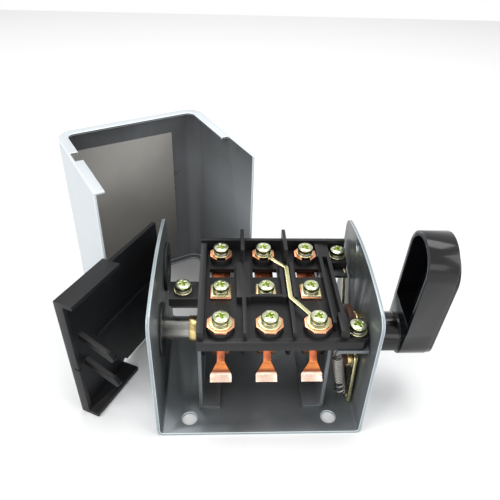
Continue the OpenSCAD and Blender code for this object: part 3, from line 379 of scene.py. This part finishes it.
# A paler copy for the bevelled edges: a painted highlight.
steel_edge_highlight = metal("steel_edge_highlight", (0.66, 0.66, 0.62), (0.42, 0.42, 0.38), 0.22, edge=True)
for washers in ("front_lock_washers", "middle_lock_washers", "back_lock_washers",
                "fixing_lock_washers"):
    edge_softened(washers, 0.2, 2, (dark_steel, steel_edge_highlight))


# Screws: cheese-headed with a domed top and a cross recess, zinc plated with a
# yellow-green cast that shows most in the recess. The head's flank takes a much darker copy of
# the yellow-green finish: painted shade.
zinc_bright = metal("zinc_bright", (0.70, 0.73, 0.58), (0.34, 0.38, 0.15), 0.14, 0.9, 420)
# A near-white copy for the handle screw's bevelled edges: a painted highlight.
zinc_bright_edge_highlight = metal("zinc_bright_edge_highlight", (0.96, 0.97, 0.92), (0.86, 0.86, 0.70), 0.14,
                         edge=True)
edge_softened("handle_screw", 0.18, 2, (zinc_bright, zinc_bright_edge_highlight))
recess_zinc = metal("recess_zinc", (0.52, 0.62, 0.13), (0.20, 0.27, 0.05), 0.30, 0.6, 500)


HEAD_R, DOME_Z, DOME_H = 3.8, 1.85, 0.95
CROSS_TURN, CROSS_HALF, CROSS_WIDE, CROSS_DEEP = math.radians(20), 2.25, 0.62, 1.35
SHANK_R, ROOT_R, TIP_R, THREAD_PITCH = 2.0, 1.72, 1.5, 0.7


def head_height(across, along):
    """Height of the head's top, a low dome, and how far the cross is sunk in it."""
    dome = DOME_H * math.sqrt(max(0.0, 1 - (math.hypot(across, along) / HEAD_R) ** 2.6))
    u = abs(across * math.cos(CROSS_TURN) + along * math.sin(CROSS_TURN))
    v = abs(along * math.cos(CROSS_TURN) - across * math.sin(CROSS_TURN))
    sunk = 0.0
    for long, wide in ((u, v), (v, u)):
        end = min(1.0, max(0.0, (CROSS_HALF - long) / 0.9))
        flank = min(1.0, max(0.0, (CROSS_WIDE - wide) / 0.3))
        sunk = max(sunk, min(end, flank))
    return DOME_Z + dome - CROSS_DEEP * sunk, sunk


def circle(bm, base, r, sides, height_at):
    """A ring of vertices around a place, each at its own height."""
    ring = []
    for k in range(sides):
        x, y = r * math.cos(math.tau * k / sides), r * math.sin(math.tau * k / sides)
        ring.append(bm.verts.new((base + Vector((x, y, height_at(x, y)))) * MM))
    return ring


def skin(bm, last, ring, finish_at):
    """Smooth faces from one ring, or its middle, to the next."""
    for k in range(len(ring)):
        after = (k + 1) % len(ring)
        inner = (last[0],) if len(last) == 1 else (last[k],)
        outer = () if len(last) == 1 else (last[after],)
        face = bm.faces.new((*inner, ring[k], ring[after], *outer))
        face.smooth = True
        face.material_index = finish_at(face)


def domed_screws(node, places, shank):
    sides, steps = 96, 26
    bm = bmesh.new()
    for place in places:
        base = Vector(place)

        def in_cross(face):
            seen = face.calc_center_median() / MM - base
            return 1 if head_height(seen.x, seen.y)[1] > 0.25 else 0

        last = [bm.verts.new((base + Vector((0, 0, head_height(0, 0)[0]))) * MM)]
        for step in range(1, steps + 1):
            ring = circle(bm, base, HEAD_R * (step / steps) ** 0.85, sides,
                          lambda x, y: head_height(x, y)[0])
            skin(bm, last, ring, in_cross)
            last = ring
        outline = [(HEAD_R, 1.7), (HEAD_R - 0.04, 0.25), (HEAD_R - 0.2, 0.0), (SHANK_R, 0.0)]
        depth = 0.0
        while depth > -shank + 0.6:
            outline += [(SHANK_R, depth - 0.1), (ROOT_R, depth - 0.35), (SHANK_R, depth - 0.6)]
            depth -= THREAD_PITCH
        outline += [(TIP_R, -shank)]
        # The head's side takes the third finish, a darker copy: painted shade.
        for r, z in outline:
            ring = circle(bm, base, r, sides, lambda x, y: z)
            skin(bm, last, ring, lambda face: 2 if z > -0.05 else 0)
            last = ring
        bm.faces.new(last)
    bmesh.ops.recalc_face_normals(bm, faces=bm.faces)
    mesh = bpy.data.meshes.new(node + "_domed")
    bm.to_mesh(mesh)
    bm.free()
    mesh.set_sharp_from_angle(angle=math.radians(50))
    stand_for(link_piece(node + "_domed", mesh, (zinc_bright, recess_zinc, shaded_head_flank)), node)


# Much darker yellow-green zinc for the head's side: painted shade.
shaded_head_flank = metal("shaded_head_flank", (0.26, 0.28, 0.15), (0.10, 0.11, 0.04), 0.24, 0.6, 500)
pole_x = (-18.3, 2.7, 23.7)
domed_screws("front_screws", [(x, -23.6, 58.5) for x in pole_x], 9.0)
domed_screws("middle_screws", [(x, 0.3, 55.6) for x in pole_x], 6.1)
domed_screws("back_screws", [(x, 25.8, 58.5) for x in pole_x], 9.0)
domed_screws("fixing_screws", [(-36.0, 2.5, 54.4), (41.0, -24.6, 54.4), (41.0, 29.8, 54.4)],
             7.9)


# Shaft, collar, bushes and the pins of the detent: turned steel and brass.
turned_brass = metal("turned_brass", (0.80, 0.62, 0.30), (0.50, 0.36, 0.14), 0.22)
# Paler copies of brass and steel for the bevelled edges of these turned parts: painted
# highlights.
brass_edge_highlight = metal("brass_edge_highlight", (0.92, 0.78, 0.46), (0.75, 0.58, 0.28), 0.18, edge=True)
for turned in ("right_shaft_bush", "shaft_collar", "detent_roller"):
    edge_softened(turned, 0.2, 2, (turned_brass, brass_edge_highlight))
plain_steel = metal("plain_steel", (0.62, 0.61, 0.57), (0.36, 0.35, 0.31), 0.24)
for turned in ("drum_shaft", "roller_pin", "lever_pivot_pin"):
    edge_softened(turned, 0.2, 2, (plain_steel, steel_edge_highlight))


# Cable grommet: soft black rubber, pushed into the left wall.
rubber = moulding("rubber", (0.010, 0.010, 0.010), 0.45)
# A paler copy for the bevelled edges: a painted highlight.
rubber_edge_highlight = moulding("rubber_edge_highlight", (0.022, 0.022, 0.022), 0.38, 1.2)
edge_softened("cable_grommet", 0.4, 3, (rubber, rubber_edge_highlight))

# Drum: glossy black moulding with barrier discs between the poles.
drum_black = moulding("drum_black", (0.010, 0.010, 0.011), 0.22)
# Its edges take the block's paler edge finish, a painted highlight.
edge_softened("drum_body", 0.25, 2, (drum_black, block_edge_highlight))

# Detent cam and the lever's inner cheek: sawn from brown laminated fibre board.
fibre = moulding("fibre", (0.085, 0.034, 0.020), 0.42)
# A paler copy for the bevelled edges: a painted highlight.
fibre_edge_highlight = moulding("fibre_edge_highlight", (0.16, 0.075, 0.045), 0.45)
for sawn in ("detent_cam", "lever_cheek"):
    edge_softened(sawn, 0.15, 2, (fibre, fibre_edge_highlight))

# Detent spring: one length of round spring wire. An eye hooks into the lug, then
# come fourteen close turns, a drawn-out stretch and the hook in the lever.
def wire(name, path, radius, sides, finish):
    """A closed tube along a path, its section carried on without twist."""
    bm = bmesh.new()
    rings = []
    across = None
    for place, point in enumerate(path):
        run = (path[min(place + 1, len(path) - 1)] - path[max(place - 1, 0)]).normalized()
        if across is None:
            across = run.orthogonal().normalized()
        across = (across - run * across.dot(run)).normalized()
        beside = run.cross(across)
        rings.append([bm.verts.new(point + radius * (math.cos(math.tau * k / sides) * across
                                                     + math.sin(math.tau * k / sides) * beside))
                      for k in range(sides)])
    for near, far in zip(rings, rings[1:]):
        for k in range(sides):
            after = (k + 1) % sides
            bm.faces.new((near[k], near[after], far[after], far[k])).smooth = True
    bm.faces.new(rings[0][::-1])
    bm.faces.new(rings[-1])
    bmesh.ops.recalc_face_normals(bm, faces=bm.faces)
    mesh = bpy.data.meshes.new(name)
    bm.to_mesh(mesh)
    bm.free()
    return link_piece(name, mesh, (finish,))


spring_top = Vector((32.4, -29.4, 45.7))
spring_low = Vector((40.3, -21.6, 4.6))
spring_axis = (spring_low - spring_top).normalized()
spring_side = (Vector((1, 0, 0)) - spring_axis[0] * spring_axis).normalized()
spring_third = spring_axis.cross(spring_side)
eye_r, hook_r, coil_r, wire_r = 1.5, 2.3, 2.2, 0.4
close_turns, drawn_turns, coil_pitch = 14, 2.5, 1.5
eye_start, hook_start, hook_aside, hook_drop = 72, 205, 3.25, 0.614
coil_from = 2 * eye_r + 3.5 * wire_r
drawn_from = coil_from + close_turns * coil_pitch
hook_from = (spring_low - spring_top).length - 2 * hook_r
drawn_len = hook_from - drawn_from - 2 * wire_r


def on_ring(along, radius, angle, aside=0.0):
    angle = math.radians(angle)
    return spring_top + (spring_axis * (along + radius * math.cos(angle))
                         + spring_side * (aside + radius * math.sin(angle)))


def on_coil(along, turn):
    return spring_top + spring_axis * along - coil_r * (
        math.cos(math.tau * turn) * spring_side + math.sin(math.tau * turn) * spring_third)


curl, ring_steps, ring_turn = 20, 28, 9
hook_middle = hook_from + hook_r + hook_drop
spring_path = [on_ring(eye_r, eye_r, eye_start + ring_turn * i) for i in range(ring_steps + 1)]
spring_path += [on_coil(coil_from + coil_pitch * i / curl, i / curl)
                for i in range(close_turns * curl + 1)]
spring_path += [on_coil(drawn_from + drawn_len * i / (drawn_turns * curl), i / curl)
                for i in range(1, int(drawn_turns * curl) + 1)]
spring_path += [on_ring(hook_middle, hook_r, hook_start + ring_turn * i, hook_aside)
                for i in range(ring_steps + 1)]
wire_steel = metal("wire_steel", (0.30, 0.29, 0.27), (0.16, 0.15, 0.13), 0.26)
stand_for(wire("spring_wire", [point * MM for point in spring_path], wire_r * MM, 12, wire_steel),
          "detent_spring")

# Side lever: one glossy black moulding with a hollow grip.
handle_black = moulding("handle_black", (0.004, 0.004, 0.005), 0.10, 1.0, 0.22, 0.3)
# A paler, more coated copy for the bevelled edges: a painted highlight.
handle_edge_highlight = moulding("handle_edge_highlight", (0.008, 0.008, 0.010), 0.08, 1.0, 0.7, 0.3)
edge_softened("handle", 0.7, 4, (handle_black, handle_edge_highlight))


# Cover: thin pressed sheet, folded in a channel with lips at both ends, enamelled
# pale blue-grey. A card lining shields the live parts from its left and middle.
def enamel(name, colour, pale, rough):
    coat = Finish(name)
    clouds = coat.span(coat.noise(18, 5, 0.6), 0.35, 0.7)
    peel = coat.noise(520, 3, 0.5)
    tone = coat.mix(clouds * 0.6, colour, pale)
    return coat.set(Base_Color=tone, Metallic=0.1, Roughness=rough + 0.12 * clouds,
                    Normal=coat.bump(peel, 0.00003))


cover_coat = enamel("cover_coat", (0.62, 0.67, 0.70), (0.70, 0.74, 0.77), 0.36)
# A paler copy of the enamel for the bevelled edges: a painted highlight.
cover_edge_highlight = enamel("cover_edge_highlight", (0.80, 0.86, 0.89), (0.88, 0.92, 0.94), 0.30)
# Inside faces of the cover: a darker copy, painted shade, darker still towards low x and towards
# the top.
cover_inside_shade = Finish("cover_inside_shade")
haze = cover_inside_shade.span(cover_inside_shade.noise(24, 6, 0.6), 0.35, 0.7)
shade = cover_inside_shade.mix(cover_inside_shade.span(cover_inside_shade.axis("x"), -0.03, -0.004),
                         (0.20, 0.21, 0.22), (0.34, 0.37, 0.39))
shade = cover_inside_shade.mix(cover_inside_shade.span(cover_inside_shade.axis("z"), 0.072, 0.099) * 0.85,
                         shade, (0.075, 0.08, 0.085))
cover_inside_shade.set(Base_Color=cover_inside_shade.mix(haze * 0.35, shade, (0.30, 0.32, 0.34)),
                 Metallic=0.2, Roughness=0.26 + 0.14 * haze,
                 Normal=cover_inside_shade.bump(cover_inside_shade.noise(520, 3, 0.5), 0.00003))
shade_inside_faces(edge_softened("cover_shell", 0.3, 2, (cover_coat, cover_edge_highlight)),
            cover_inside_shade.material, (-0.045, 0.045, 0.05))
card = enamel("lining_card", (0.30, 0.29, 0.27), (0.42, 0.41, 0.38), 0.45)
edge_softened("cover_lining", 0.1, 1, (card,))

# End cap: black moulding with a boxed end and two locking arms.
cap_black = moulding("cap_black", (0.010, 0.010, 0.011), 0.34)
# A paler copy for the bevelled edges: a painted highlight.
cap_edge_highlight = moulding("cap_edge_highlight", (0.040, 0.042, 0.046), 0.34, 1.3)
edge_softened("end_cap", 0.35, 3, (cap_black, cap_edge_highlight))
